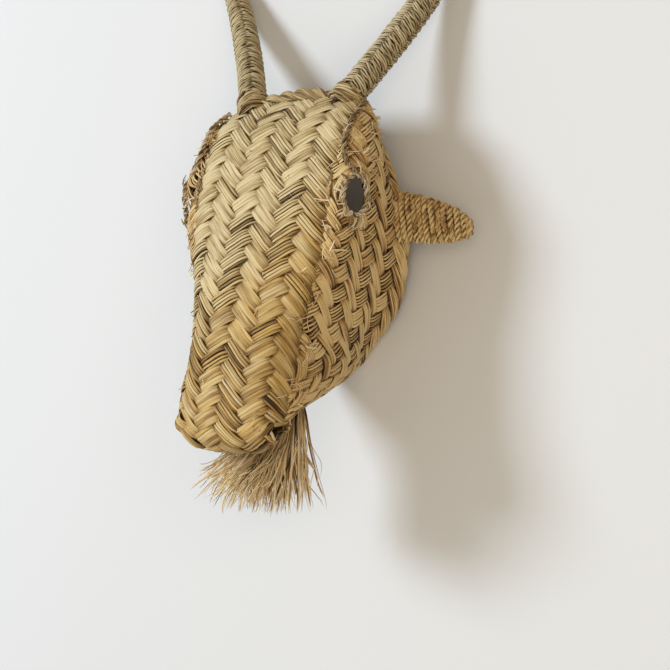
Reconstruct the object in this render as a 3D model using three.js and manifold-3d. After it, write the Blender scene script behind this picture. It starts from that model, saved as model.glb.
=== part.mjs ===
import * as THREE from 'three';
import { ParametricGeometry } from 'three/addons/geometries/ParametricGeometry.js';
import { mergeVertices } from 'three/addons/utils/BufferGeometryUtils.js';
import Module from 'manifold-3d';

const wasm = await Module();
wasm.setup();

// Millimetres. The wall is y = 0, the head stands out towards -Y, +Z is up, the nail is the origin.
const WALL = 6.0; // thickness of the plaited straw
const CLEAR = 0.3; // gap between touching pieces
const BAND_HALF = 58; // half the width of the face band, measured along the plait
const CHEEK_END = 0.97; // the cheek pieces stop here and leave a slit under the muzzle
const SEAM_GAP = 1; // gap where the cheek pieces are laced to the face band
const RIM_STRIP = 6; // least width of a cheek piece beside the face band
const RIM_TOP_D = 36, RIM_TOP_Z = 2, RIM_TILT = 0.1878; // plane of the open back
const HOOP_DEPTH = 5, BEHIND = 4; // hoop, and how far the cutters run past the open back
const SHELL_TOP = 0.035; // level where the plaiting starts under the crown cord
const CROWN = { halfSpan: 22.5, depth: 47, z: 0.6, sag: 3.0, radius: 5.6 };
const HORN = { x: 39, depth: 50, spread: 0.575, lean: 0.6, curl: 1.69e-5, height: 108, rootR: 9.5, tipR: 5, taper: 4 };
const SLEEVE_WALL = 2.4, CORE_DEPTH = 24, LASH_WALL = 2.4, LASH_TOP = 10;
const EYE = { level: 0.345, s: 73.5, a: 8.6, b: 12.6, tube: 3.0 };
const SEAM = { from: 0.07, to: 0.26, radius: 2.5 };
const EAR = { rootX: 52, tipX: 115, rootD: 27, tipD: 21, rootZ: -74, tipZ: -85, halfHeight: 18, halfThick: 5 };
const MOUTH = { depth: 114, z: -214, a: 12, b: 5.5, x: 38 };
const BEARD = { top: -194.6, bottom: -268, dTop: 57, dBottom: 98, a0: 6, b0: 6.5, a1: 25, b1: 31 };
const BINDING = { below: 4.5, grow: 2.6, tube: 1.6 };
const CORD = { x: 43.5, depth: 28.6, z: -35, topD: 4.2, radius: 1.6, bend: 5, knot: 3.2 };

// Side-view levels down the head: front and back point (depth, z), greatest half width and where
// along the line it falls, half width at the back, squareness, 1 where the back is closed.
const LEVELS = [
  [0.0, 52, 4, 36, 2, 46, 0.5, 36, 2.4, 0], [0.06, 66, -6, 34.5, -6, 57, 0.45, 39, 2.8, 0],
  [0.16, 80, -22, 31.5, -22, 67, 0.38, 46, 3.1, 0], [0.3, 94, -55, 25.9, -52, 71, 0.33, 58, 3.2, 0],
  [0.42, 104, -88, 19.1, -88, 66, 0.33, 62, 3.0, 0], [0.55, 115, -120, 10.8, -132, 54, 0.38, 50, 3.0, 0],
  [0.66, 123, -146, 5.6, -160, 45, 0.35, 26, 3.4, 0.2], [0.75, 130, -171, 2, -179, 43, 0.32, 4, 3.6, 0.5],
  [0.84, 136, -196, 45, -190, 43, 0.34, 0, 3.4, 1], [0.91, 137, -213, 84, -196, 41, 0.42, 0, 3.0, 1],
  [0.97, 130, -225, 100, -212, 33, 0.45, 0, 2.6, 1], [1.0, 119, -228, 110, -221, 22, 0.5, 0, 2.2, 1],
];
const STRAW = 0xb49a6c, STRAW_DARK = 0x957443, TAUPE = 0x9c8b6c, CANE = 0x8a6a3d, FIBRE = 0x9a7f5c;

const smooth = (a, b, x) => THREE.MathUtils.smoothstep(x, a, b);

function level(t) {
  let i = 0;
  while (i < LEVELS.length - 2 && t > LEVELS[i + 1][0]) i += 1;
  const slope = (j, k) => {
    const lo = LEVELS[Math.max(j - 1, 0)], hi = LEVELS[Math.min(j + 1, LEVELS.length - 1)];
    return (hi[k] - lo[k]) / (hi[0] - lo[0]);
  };
  const [p, q] = [LEVELS[i], LEVELS[i + 1]];
  const h = q[0] - p[0], x = (t - p[0]) / h, x2 = x * x, x3 = x2 * x;
  return p.slice(1).map((v, n) => (2 * x3 - 3 * x2 + 1) * v + (x3 - 2 * x2 + x) * h * slope(i, n + 1)
    + (3 * x2 - 2 * x3) * q[n + 1] + (x3 - x2) * h * slope(i + 1, n + 1));
}

// A point of the head's surface: t runs down the head, q from -2 to 2 around a section with 0 at
// the middle of the front and 2 at the back edge. inset moves it inwards.
function surface(t, q, inset = 0, behind = 0) {
  const [fd, fz, bd, bz, wm, lm, wbRaw, n, cRaw] = level(t);
  const c = THREE.MathUtils.clamp(cRaw, 0, 1), k = Math.abs(q);
  const d = inset < 0 ? inset : inset * Math.min(1, (fd - bd) / (3 * Math.max(inset, 1)));
  const front = fd - d, back = bd + d * c - behind * (1 - c);
  const w = wm - d, wb = Math.max(Math.max(wbRaw, 0) - d * (1 - c), 0);
  let lam = lm, x = w;
  if (k <= 1) {
    const a = k * Math.PI / 2;
    lam = lm * (1 - Math.max(Math.cos(a), 0) ** (2 / n));
    x = w * Math.sin(a) ** (2 / n);
  } else {
    const tau = Math.sin((k - 1) * Math.PI / 2);
    const e = (1 - c) * tau * tau + c * (1 - Math.sqrt(Math.max(1 - tau * tau, 0)));
    lam = lm + (1 - lm) * tau;
    x = w + (wb - w) * e;
  }
  const rise = Math.max(smooth(0.88, 1, t), lam * smooth(0.62, 0.8, t)) - smooth(-0.2, 0, -t);
  return new THREE.Vector3(Math.sign(q) * x, -(front + (back - front) * lam), fz + (bz - fz) * lam + d * rise);
}

const lengths = new Map();
function arc(t) {
  if (!lengths.has(t)) {
    const rows = [[0, 0]];
    for (let i = 1, last = surface(t, 0); i <= 80; i += 1) {
      const p = surface(t, i / 40);
      rows.push([i / 40, rows[i - 1][1] + p.distanceTo(last)]);
      last = p;
    }
    lengths.set(t, rows);
  }
  return lengths.get(t);
}
const halfGirth = (t) => arc(t)[80][1];
function around(t, s) {
  const rows = arc(t), a = Math.min(Math.abs(s), halfGirth(t));
  const i = Math.max(rows.findIndex((r) => r[1] >= a), 1);
  const f = (a - rows[i - 1][1]) / (rows[i][1] - rows[i - 1][1]);
  return Math.sign(s) * (rows[i - 1][0] + f * (rows[i][0] - rows[i - 1][0]));
}
const onHead = (t, s, inset = 0) => surface(t, around(t, s), inset);
function normalAt(t, s) {
  const du = onHead(t, s + 0.5).sub(onHead(t, s - 0.5)), dv = onHead(t + 0.004, s).sub(onHead(t - 0.004, s));
  return dv.cross(du).normalize();
}

function solidOf(geometry) {
  geometry.deleteAttribute('normal');
  geometry.deleteAttribute('uv');
  const merged = mergeVertices(geometry, 1e-3);
  const idx = merged.index.array, tris = [];
  for (let i = 0; i < idx.length; i += 3) {
    const [a, b, c] = [idx[i], idx[i + 1], idx[i + 2]];
    if (a !== b && b !== c && c !== a) tris.push(a, b, c);
  }
  const build = (list) => new wasm.Manifold(new wasm.Mesh({
    numProp: 3, vertProperties: new Float32Array(merged.attributes.position.array), triVerts: new Uint32Array(list),
  }));
  const made = build(tris);
  if (made.volume() > 0) return made;
  return build(tris.map((v, i) => (i % 3 === 0 ? v : tris[i % 3 === 1 ? i + 1 : i - 1])));
}

const parametric = (fn, slices, stacks) => solidOf(new ParametricGeometry((u, v, out) => {
  out.copy(fn(Math.round(u * slices) % slices, Math.round(v * stacks)));
}, slices, stacks));

// A thick piece of the head's wall between two arc lengths, closed along all four edges.
function wallPiece(low, high, cols, rows, end, grow = 0) {
  return parametric((i, j) => {
    const t = SHELL_TOP + (end - SHELL_TOP) * THREE.MathUtils.clamp((j - 1) / rows, 0, 1);
    const k = i <= cols ? i : 2 * cols + 1 - i;
    const q = around(t, low(t) + (high(t) - low(t)) * k / cols);
    const outer = surface(t, q, -grow, BEHIND), inner = surface(t, q, WALL + grow, BEHIND);
    if (j === 0 || j === rows + 2) return outer.lerp(inner, 0.5);
    return i <= cols ? outer : inner;
  }, 2 * cols + 2, rows + 2);
}

// The head as one closed solid, used only to cut other pieces.
function headSolid(inset) {
  const rows = 30, cols = 56;
  return parametric((i, j) => {
    const t = SHELL_TOP + (1 - SHELL_TOP) * THREE.MathUtils.clamp((j - 1) / rows, 0, 1);
    if (j === 0 || j === rows + 2) return surface(t, 0, inset, BEHIND).lerp(surface(t, 2, inset, BEHIND).setX(0), 0.5);
    const a = (i / cols) * 4 - 2;
    return surface(t, a === 0 ? 1e-6 : a, inset, BEHIND);
  }, cols, rows + 2);
}

// A closed tube along a path that never runs along ref, with the radius given at each step.
const UP = new THREE.Vector3(0, 0, 1), BACK = new THREE.Vector3(0, 1, 0), SIDE = new THREE.Vector3(1, 0, 0);
function tube(path, radius, steps, sides, ref = UP, closed = false) {
  const at = (f) => path(THREE.MathUtils.clamp(f, 0, 1));
  const frameAt = (f) => {
    const t = (closed ? path(f + 0.004) : at(f + 0.004)).sub(closed ? path(f - 0.004) : at(f - 0.004)).normalize();
    const n = new THREE.Vector3().crossVectors(ref, t).normalize();
    return [n, new THREE.Vector3().crossVectors(t, n)];
  };
  const ring = (f, i, r) => {
    const [n, b] = frameAt(f), a = (i / sides) * 2 * Math.PI;
    return path(f).addScaledVector(n, r * Math.cos(a)).addScaledVector(b, r * Math.sin(a));
  };
  if (closed) {
    return solidOf(new ParametricGeometry((u, v, out) => {
      out.copy(ring((Math.round(v * steps) % steps) / steps, Math.round(u * sides) % sides, radius(0)));
    }, sides, steps));
  }
  return parametric((i, j) => {
    const f = THREE.MathUtils.clamp((j - 1) / steps, 0, 1);
    return j === 0 || j === steps + 2 ? path(f) : ring(f, i, radius(f));
  }, sides, steps + 2);
}

// Half axes and centre of the beard's elliptical section, from 0 at the chin to 1 at the ends.
function beardSection(f) {
  const g = Math.sin(f * Math.PI / 2), c = BEARD;
  return { a: c.a0 + (c.a1 - c.a0) * g, b: c.b0 + (c.b1 - c.b0) * g, d: c.dTop + (c.dBottom - c.dTop) * f,
    z: c.top + (c.bottom - c.top) * f };
}
function beard() {
  const steps = 9, sides = 20;
  return parametric((i, j) => {
    const { a, b, d, z } = beardSection(THREE.MathUtils.clamp((j - 1) / steps, 0, 1));
    const angle = (i / sides) * 2 * Math.PI, r = j === 0 || j === steps + 2 ? 0 : 1;
    return new THREE.Vector3(r * a * Math.cos(angle), -d + r * b * Math.sin(angle), z);
  }, sides, steps + 2);
}

const group = new THREE.Group();
function add(name, solid, color) {
  const { vertProperties, triVerts } = solid.getMesh();
  const geometry = new THREE.BufferGeometry();
  geometry.setAttribute('position', new THREE.BufferAttribute(Float32Array.from(vertProperties), 3));
  geometry.setIndex(new THREE.BufferAttribute(Uint32Array.from(triVerts), 1));
  geometry.computeVertexNormals();
  const mesh = new THREE.Mesh(geometry, new THREE.MeshStandardMaterial({ color, roughness: 0.85 }));
  mesh.name = name;
  group.add(mesh);
}

const rimNormal = new THREE.Vector3(0, -1, -RIM_TILT).normalize(); // out of the open back, forwards
const rimOffset = rimNormal.dot(new THREE.Vector3(0, -RIM_TOP_D, RIM_TOP_Z));
const beyondRim = (solid, depth) => solid.trimByPlane(rimNormal.toArray(), rimOffset + depth);
const behindRim = (solid, depth) => solid.trimByPlane(rimNormal.clone().negate().toArray(), -(rimOffset + depth));

const bandEdge = (t) => Math.min(BAND_HALF, halfGirth(t) - RIM_STRIP);
const headOuter = headSolid(0), headClear = headSolid(-CLEAR);

function eyeFrame(side) {
  const centre = onHead(EYE.level, side * EYE.s), n = normalAt(EYE.level, side * EYE.s).multiplyScalar(side);
  if (n.x * side < 0) n.negate();
  const up = new THREE.Vector3(0, 0, 1).addScaledVector(n, -n.z).normalize();
  return { centre, n, up, across: new THREE.Vector3().crossVectors(up, n) };
}
function eyeRim(side) {
  const { centre, n, up, across } = eyeFrame(side);
  const path = (f) => {
    const a = f * 2 * Math.PI;
    return centre.clone().addScaledVector(across, EYE.a * Math.cos(a)).addScaledVector(up, EYE.b * Math.sin(a))
      .addScaledVector(n, -2 - 0.012 * (EYE.a * Math.cos(a)) ** 2);
  };
  return tube(path, () => EYE.tube, 28, 8, n, true);
}
function eyeHole(side) {
  const { centre, n, up, across } = eyeFrame(side), grow = EYE.tube + CLEAR + 0.4;
  return parametric((i, j) => {
    const a = (i / 32) * 2 * Math.PI, r = j === 0 || j === 3 ? 0 : 1;
    return centre.clone().addScaledVector(across, r * (EYE.a + grow) * Math.cos(a))
      .addScaledVector(up, r * (EYE.b + grow) * Math.sin(a)).addScaledVector(n, j < 2 ? -16 : 12);
  }, 32, 3);
}
function mouthHole(side) {
  return parametric((i, j) => {
    const a = (i / 20) * 2 * Math.PI, r = j === 0 || j === 3 ? 0 : 1;
    return new THREE.Vector3(side * (MOUTH.x + (j < 2 ? -14 : 12)), -MOUTH.depth + r * MOUTH.a * Math.cos(a),
      MOUTH.z + r * MOUTH.b * Math.sin(a));
  }, 20, 3);
}

const hornAt = (side, h) => new THREE.Vector3(side * (HORN.x + HORN.spread * h),
  -(HORN.depth - HORN.lean * h + (h > 0 ? HORN.curl * h ** 3 : 0)), h);
const hornR = (h) => THREE.MathUtils.lerp(HORN.rootR, HORN.tipR, THREE.MathUtils.clamp(h / HORN.height, 0, 1) ** HORN.taper);
const hornTube = (side, low, high, less, steps) => tube((f) => hornAt(side, low + (high - low) * f),
  (f) => hornR(low + (high - low) * f) - less, steps, 16, BACK);

function faceBand() {
  let solid = wallPiece((t) => -bandEdge(t), bandEdge, 24, 34, 1);
  for (const side of [1, -1]) solid = solid.subtract(mouthHole(side)).subtract(eyeHole(side));
  return beyondRim(solid, HOOP_DEPTH + CLEAR);
}
const bandRoom = wallPiece((t) => -bandEdge(t) - SEAM_GAP / 2, (t) => bandEdge(t) + SEAM_GAP / 2, 24, 34, 1, 1.5);
function cheekBand(side) {
  const low = (t) => side * (bandEdge(t) + SEAM_GAP), high = (t) => side * (halfGirth(t) - CLEAR / 2 - 0.1);
  const solid = wallPiece(low, high, 12, 34, CHEEK_END).subtract(eyeHole(side)).subtract(bandRoom);
  return beyondRim(solid, HOOP_DEPTH + CLEAR);
}
function rearHoop() {
  const ring = headOuter.subtract(headSolid(WALL));
  return behindRim(beyondRim(ring, 0), HOOP_DEPTH);
}
function browSeam(side) {
  const path = (f) => {
    const t = SEAM.from + (SEAM.to - SEAM.from) * f, n = normalAt(t, side * BAND_HALF);
    if (n.x * side < 0) n.negate();
    return onHead(t, side * (bandEdge(t) + SEAM_GAP / 2)).addScaledVector(n, SEAM.radius * 0.8);
  };
  return tube(path, () => SEAM.radius, 16, 8, SIDE).subtract(headClear);
}
function crownCord() {
  const path = (f) => {
    const x = CROWN.halfSpan * (2 * f - 1);
    return new THREE.Vector3(x, -CROWN.depth, CROWN.z - CROWN.sag * (x / CROWN.halfSpan) ** 2);
  };
  return tube(path, () => CROWN.radius, 14, 12);
}
function ear(side) {
  return parametric((i, j) => {
    const f = j / 20, a = (i / 20) * 2 * Math.PI, g = Math.sqrt(Math.max(1 - f ** 3.2, 0));
    const taper = 1 - 0.28 * f;
    return new THREE.Vector3(
      side * (EAR.rootX + (EAR.tipX - EAR.rootX) * f),
      -(EAR.rootD + (EAR.tipD - EAR.rootD) * f) + (j === 0 ? 0 : EAR.halfThick * (1 - 0.35 * f) * g * Math.cos(a)),
      EAR.rootZ + (EAR.tipZ - EAR.rootZ) * f + (j === 0 ? 0 : EAR.halfHeight * taper * g * Math.sin(a)),
    );
  }, 20, 20).subtract(headClear);
}
function hangingCord() {
  const path = (f) => {
    const k = Math.abs(2 * f - 1), g = Math.sqrt(k * k + (CORD.bend / CORD.x) ** 2) - CORD.bend / CORD.x;
    return new THREE.Vector3(CORD.x * (2 * f - 1), -(CORD.topD + (CORD.depth - CORD.topD) * g), 1.8 + (CORD.z - 1.8) * g);
  };
  const knots = [1, -1].map((side) => tube((f) => new THREE.Vector3(side * (CORD.x + 3 * f - 1), -CORD.depth + 1.2,
    CORD.z + 1.5), (f) => CORD.knot * Math.sin(Math.PI * (0.2 + 0.6 * f)), 4, 10));
  return tube(path, () => CORD.radius, 34, 8).add(knots[0]).add(knots[1]);
}
function beardBinding() {
  const { a, b, d, z } = beardSection(BINDING.below / (BEARD.top - BEARD.bottom));
  const path = (f) => new THREE.Vector3((a + BINDING.grow) * Math.cos(f * 2 * Math.PI),
    -d + (b + BINDING.grow) * Math.sin(f * 2 * Math.PI), z);
  return tube(path, () => BINDING.tube, 24, 8, UP, true);
}

const hornCores = {};
for (const side of [1, -1]) {
  hornCores[side] = hornTube(side, -CORE_DEPTH, HORN.height - 6, SLEEVE_WALL + CLEAR, 18);
}
let face = faceBand();
const cheeks = { 1: cheekBand(1), [-1]: cheekBand(-1) };
for (const side of [1, -1]) {
  const bore = hornTube(side, -CORE_DEPTH - 4, 30, SLEEVE_WALL, 10);
  face = face.subtract(bore);
  cheeks[side] = cheeks[side].subtract(bore);
}

add('rear_hoop', rearHoop().subtract(hornTube(1, -40, 30, SLEEVE_WALL, 8)).subtract(hornTube(-1, -40, 30, SLEEVE_WALL, 8)), CANE);
add('face_band', face, STRAW);
add('cheek_band_left', cheeks[1], STRAW_DARK);
add('cheek_band_right', cheeks[-1], STRAW_DARK);
add('crown_cord', crownCord(), STRAW);
for (const [side, word] of [[1, 'left'], [-1, 'right']]) {
  const lower = HORN.height, coreBore = hornTube(side, -10, HORN.height - 5.4, SLEEVE_WALL, 18);
  add(`horn_core_${word}`, hornCores[side], CANE);
  add(`horn_sleeve_${word}`, hornTube(side, -6, lower, 0, 24).subtract(coreBore).subtract(headClear), TAUPE);
  const collar = hornTube(side, -6, LASH_TOP, -LASH_WALL, 6).subtract(hornTube(side, -10, LASH_TOP + 8, -CLEAR, 8));
  add(`horn_lashing_${word}`, collar.subtract(headClear), STRAW_DARK);
  add(`eye_rim_${word}`, eyeRim(side), STRAW);
  add(`brow_seam_${word}`, browSeam(side), STRAW);
  add(`ear_${word}`, ear(side), STRAW_DARK);
}
add('beard', beard(), FIBRE);
add('beard_binding', beardBinding(), STRAW_DARK);
add('hanging_loop', hangingCord(), CANE);

export default group;
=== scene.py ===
import math

import bmesh
import bpy
import numpy as np
from bpy.props import BoolProperty, FloatProperty, IntProperty, PointerProperty
from mathutils import Matrix, Vector


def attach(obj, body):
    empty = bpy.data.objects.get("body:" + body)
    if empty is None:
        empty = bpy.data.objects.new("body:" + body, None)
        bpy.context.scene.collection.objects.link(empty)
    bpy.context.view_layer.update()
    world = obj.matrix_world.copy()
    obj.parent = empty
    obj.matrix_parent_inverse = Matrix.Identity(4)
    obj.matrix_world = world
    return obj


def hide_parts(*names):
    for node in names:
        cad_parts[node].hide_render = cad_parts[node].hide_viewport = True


bl_info = {
    "name": "Plaited Goat Head",
    "version": (1, 0, 0),
    "blender": (4, 5, 0),
    "location": "3D View > Sidebar > Goat Head",
    "description": "A hollow goat head plaited from dry grass, with horns, ears and a beard",
    "category": "Object",
}

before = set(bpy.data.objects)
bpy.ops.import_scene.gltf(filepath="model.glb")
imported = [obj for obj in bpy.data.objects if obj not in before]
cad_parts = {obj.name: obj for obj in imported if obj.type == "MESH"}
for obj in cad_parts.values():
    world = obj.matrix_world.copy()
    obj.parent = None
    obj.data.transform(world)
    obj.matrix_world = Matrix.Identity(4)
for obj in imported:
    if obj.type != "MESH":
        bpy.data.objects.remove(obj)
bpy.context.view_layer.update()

MM = 0.001
TAU = 2 * math.pi
SIDES = ((1, "left"), (-1, "right"))
WALL = 6.0        # thickness of the plaiting, mm
BAND_HALF = 58.0  # half width of the face band, mm along the plait
RIM_STRIP = 6.0   # least width of the cheek beside the face band, mm
SHELL_TOP = 0.035  # level at which the plaited shell begins
UNDER_CROWN = 6.5  # how far the face band runs on under the crown rope, mm

# The eye's middle as a level and an arc from the front line, and its half width and half height, mm.
EYE_LEVEL, EYE_SIDE, EYE_HALF = 0.345, 73.5, (8.6, 12.6)
EYE_REACH = 16.0  # how deep an opening cuts into the strands round it, mm
MOUTH, MOUTH_HALF = (37.0, -116.0, -213.0), (10.5, 5.2)

# A horn's root on the head, its lean for each mm of height, its curl forward and its height, mm.
HORN_X, HORN_DEPTH = 39.0, 50.0
HORN_SPREAD, HORN_LEAN, HORN_CURL, HORN_HEIGHT = 0.575, 0.6, 1.69e-5, 108.0
HORN_STRANDS = 4
LASHINGS = 11

# The beard, mm: where its fibres begin, how low they end, and how high they may pass under the chin.
BEARD_ROOT_DEPTH, BEARD_ROOT_Z, BEARD_ROOT_RADIUS = 56, -191.6, 5
BEARD_TUFTS = 16
BEARD_LOWEST = -268
CHIN_DEPTH, CHIN_Z = (57, 84, 100, 110, 119, 135), (-196, -203.5, -221, -230.5, -237, -239)

# The hanging loop, mm: half its span, how round its top is, the nail's depth, and its drop to the rim.
LOOP_HALF_SPAN, LOOP_BEND, LOOP_TOP_DEPTH, LOOP_TOP_Z = 42.2, 0.115, 4.2, 1.8
LOOP_OUT, LOOP_DROP = 24.4, 36.8

# The camera, m: three quarters from the animal's left, level with the cheeks.
CAMERA_TURN, CAMERA_DISTANCE, CAMERA_SHIFT, CAMERA_Z, CAMERA_LENS = 36, 1.15, -0.0065, -0.15275, 91.05

# Levels down the head, mm: position, front depth and z, back depth and z, half width, where along
# the line it falls, half width at the back, squareness, and 1 where the back is closed.
LEVELS = np.array([
    [0.00, 52, 4, 36, 2, 46, 0.50, 36, 2.4, 0], [0.06, 66, -6, 34.5, -6, 57, 0.45, 39, 2.8, 0],
    [0.16, 80, -22, 31.5, -22, 67, 0.38, 46, 3.1, 0], [0.30, 94, -55, 25.9, -52, 71, 0.33, 58, 3.2, 0],
    [0.42, 104, -88, 19.1, -88, 66, 0.33, 62, 3.0, 0], [0.55, 115, -120, 10.8, -132, 54, 0.38, 50, 3.0, 0],
    [0.66, 123, -146, 5.6, -160, 45, 0.35, 26, 3.4, 0.2], [0.75, 130, -171, 2, -179, 43, 0.32, 4, 3.6, 0.5],
    [0.84, 136, -196, 45, -190, 43, 0.34, 0, 3.4, 1], [0.91, 137, -213, 84, -196, 41, 0.42, 0, 3.0, 1],
    [0.97, 130, -225, 100, -212, 33, 0.45, 0, 2.6, 1], [1.00, 119, -228, 110, -221, 22, 0.50, 0, 2.2, 1],
])


# ---- the head's surface

def lengths_along(points):
    """Length from the first point of a line to each of its points, for one line or many."""
    gaps = np.linalg.norm(np.diff(points, axis=-2), axis=-1)
    return np.concatenate([np.zeros(gaps.shape[:-1] + (1,)), np.cumsum(gaps, axis=-1)], axis=-1)


def levels_at(t):
    """The level table at every t, smoothly between its rows."""
    row = LEVELS[:, 0]
    i = np.clip(np.searchsorted(row, t, side="right") - 1, 0, len(row) - 2)
    lo = np.maximum(np.arange(len(row)) - 1, 0)
    hi = np.minimum(np.arange(len(row)) + 1, len(row) - 1)
    slope = (LEVELS[hi] - LEVELS[lo]) / (row[hi] - row[lo])[:, None]
    h = (row[i + 1] - row[i])[:, None]
    x = (t[:, None] - row[i][:, None]) / h
    return ((2 * x**3 - 3 * x**2 + 1) * LEVELS[i] + (x**3 - 2 * x**2 + x) * h * slope[i]
            + (3 * x**2 - 2 * x**3) * LEVELS[i + 1] + (x**3 - x**2) * h * slope[i + 1])


def surface_table(rows=321, columns=241):
    """Points, outward normals and half girth of the head, on its left half, in mm."""
    t = np.linspace(0, 1, rows)
    _, fd, fz, bd, bz, wide, where, back, square, closed = [c[:, None] for c in levels_at(t).T]
    back, closed = np.maximum(back, 0), np.clip(closed, 0, 1)
    q = np.linspace(0, 1, 200)[None, :]
    quarter = q * math.pi / 2
    lam_front = where * (1 - np.maximum(np.cos(quarter), 0) ** (2 / square))
    x_front = wide * np.sin(quarter) ** (2 / square)
    tau = np.sin(quarter)
    draw_in = (1 - closed) * tau**2 + closed * (1 - np.sqrt(np.maximum(1 - tau**2, 0)))
    lam = np.concatenate([lam_front, (where + (1 - where) * tau)[:, 1:]], axis=1)
    x = np.concatenate([x_front, (wide + (back - wide) * draw_in)[:, 1:]], axis=1)
    raw = np.stack([x, -(fd + (bd - fd) * lam), fz + (bz - fz) * lam], axis=-1)
    run = lengths_along(raw)
    fractions = np.linspace(0, 1, columns)
    points = np.array([[np.interp(fractions * r[-1], r, p[:, a]) for a in range(3)]
                       for r, p in zip(run, raw)])
    points = points.transpose(0, 2, 1)
    across, down = np.gradient(points, axis=1), np.gradient(points, axis=0)
    across[:, 0] = (1, 0, 0)
    normals = np.cross(down, across)
    normals /= np.maximum(np.linalg.norm(normals, axis=2, keepdims=True), 1e-9)
    return points, normals, run[:, -1]


POINTS, NORMALS, GIRTH = surface_table()
T_ROWS = np.linspace(0, 1, len(GIRTH))
REAR_WAY = POINTS[:, -1] - POINTS[:, -4]
REAR_WAY /= np.linalg.norm(REAR_WAY, axis=1, keepdims=True)


def ease(x):
    """0 below 0, 1 above 1, and a smooth step between."""
    x = np.clip(x, 0, 1)
    return x * x * (3 - 2 * x)


def girth_at(t):
    """Length of the surface from the front line to the rear edge at level t, mm."""
    return np.interp(t, T_ROWS, GIRTH)


def on_head(t, s, lift=0.0):
    """Points and normals at level t and arc length s from the middle of the front, raised by lift mm.

    Past the rear edge the surface runs straight on.
    """
    t, s = np.broadcast_arrays(np.asarray(t, float), np.asarray(s, float))
    rows, columns = POINTS.shape[:2]
    i = np.clip(t, 0, 1) * (rows - 1)
    j = np.clip(np.abs(s) / girth_at(t), 0, 1) * (columns - 1)
    i0, j0 = np.minimum(i.astype(int), rows - 2), np.minimum(j.astype(int), columns - 2)
    fi, fj = (i - i0)[..., None], (j - j0)[..., None]

    def between(a):
        near = a[i0, j0] * (1 - fi) + a[i0 + 1, j0] * fi
        far = a[i0, j0 + 1] * (1 - fi) + a[i0 + 1, j0 + 1] * fi
        return near * (1 - fj) + far * fj

    p, n = between(POINTS), between(NORMALS)
    n /= np.linalg.norm(n, axis=-1, keepdims=True)
    p += REAR_WAY[i0] * np.maximum(np.abs(s) - girth_at(t), 0)[..., None]
    side = np.where(s < 0, -1.0, 1.0)
    p[..., 0] *= side
    n[..., 0] *= side
    return p + n * np.asarray(lift)[..., None], n


def band_edge(t):
    """Half width of the face band at level t, mm."""
    return np.minimum(BAND_HALF, girth_at(t) - RIM_STRIP)


def part_around(lines, centre, across, up, half):
    """Pushes whole strands to one side of an oval opening, nearest ones closest to its edge."""
    d = lines - centre
    a, b = d @ across / half[0], d @ up / half[1]
    off = d - (d @ across)[..., None] * across - (d @ up)[..., None] * up
    far_off = 9.0
    r = np.where(np.linalg.norm(off, axis=-1) < EYE_REACH, np.hypot(a, b), far_off)
    near = np.argmin(r, axis=1)
    k = np.arange(len(lines))
    least = np.maximum(r[k, near], 1e-3)
    way = np.stack([a[k, near], b[k, near]], axis=1)
    way /= np.maximum(np.linalg.norm(way, axis=1, keepdims=True), 1e-9)
    reach = (1.03 + 0.48 * least)[:, None]
    along = a * way[:, :1] + b * way[:, 1:]
    push = np.sqrt(np.maximum(reach**2 - r**2 + along**2, 0)) - along
    push = np.where((r < reach) & (least[:, None] < 1.98), push, 0.0)
    return (lines + (push * way[:, :1] * half[0])[..., None] * across
            + (push * way[:, 1:] * half[1])[..., None] * up)


def eye_frame(side):
    """Middle, normal, up and across of an eye's opening."""
    return frame_at(*on_head(EYE_LEVEL, side * EYE_SIDE))


def mouth_frame(side):
    """The surface nearest to the corner of the mouth."""
    i, j = np.unravel_index(np.argmin(np.linalg.norm(POINTS - MOUTH, axis=2)), POINTS.shape[:2])
    return frame_at(POINTS[i, j] * (side, 1, 1), NORMALS[i, j] * (side, 1, 1))


def frame_at(centre, n):
    """The centre and normal with the ways up and across on the surface there."""
    up = np.array([0, 0, 1.0]) - n * n[2]
    up /= np.linalg.norm(up)
    return centre, n, up, np.cross(up, n)


def open_eyes_and_mouth(lines, keep):
    """Parts the strands round the eyes and the mouth, and cuts the few that still cross them."""
    openings = []
    for side in (1, -1):
        for (centre, _, up, across), half in ((eye_frame(side), EYE_HALF), (mouth_frame(side), MOUTH_HALF)):
            openings.append((centre, across, up, (half[0] * 0.95, half[1] * 0.95)))
    for opening in openings:
        lines = part_around(lines, *opening)
    middle = (lines + np.roll(lines, -1, axis=1)) / 2
    for centre, across, up, half in openings:
        for points in (lines, middle):
            d = points - centre
            inside = np.hypot(d @ across / half[0], d @ up / half[1]) < 0.98
            inside &= np.linalg.norm(d, axis=-1) < EYE_REACH
            keep = keep & ~inside
            if points is middle:
                keep = keep & ~np.roll(inside, 1, axis=1)
    return lines, keep


# ---- blades of grass

def smooth_wander(rng, count, steps, size, waves):
    """A slow random wander along every blade."""
    u = np.linspace(0, 1, steps)[None, :]
    out = np.zeros((count, steps))
    for k in range(1, 4):
        out += np.sin(TAU * (waves * k * u + rng.random((count, 1)))) * rng.normal(0, 1, (count, 1)) / k
    return out * size


def make_object(name, bm, material, body):
    """Makes a bmesh into a visible piece of one material that rides on a body."""
    mesh = bpy.data.meshes.new(name)
    bm.to_mesh(mesh)
    bm.free()
    obj = bpy.data.objects.new(name, mesh)
    bpy.context.scene.collection.objects.link(obj)
    mesh.materials.append(material)
    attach(obj, body)
    return obj


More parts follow.
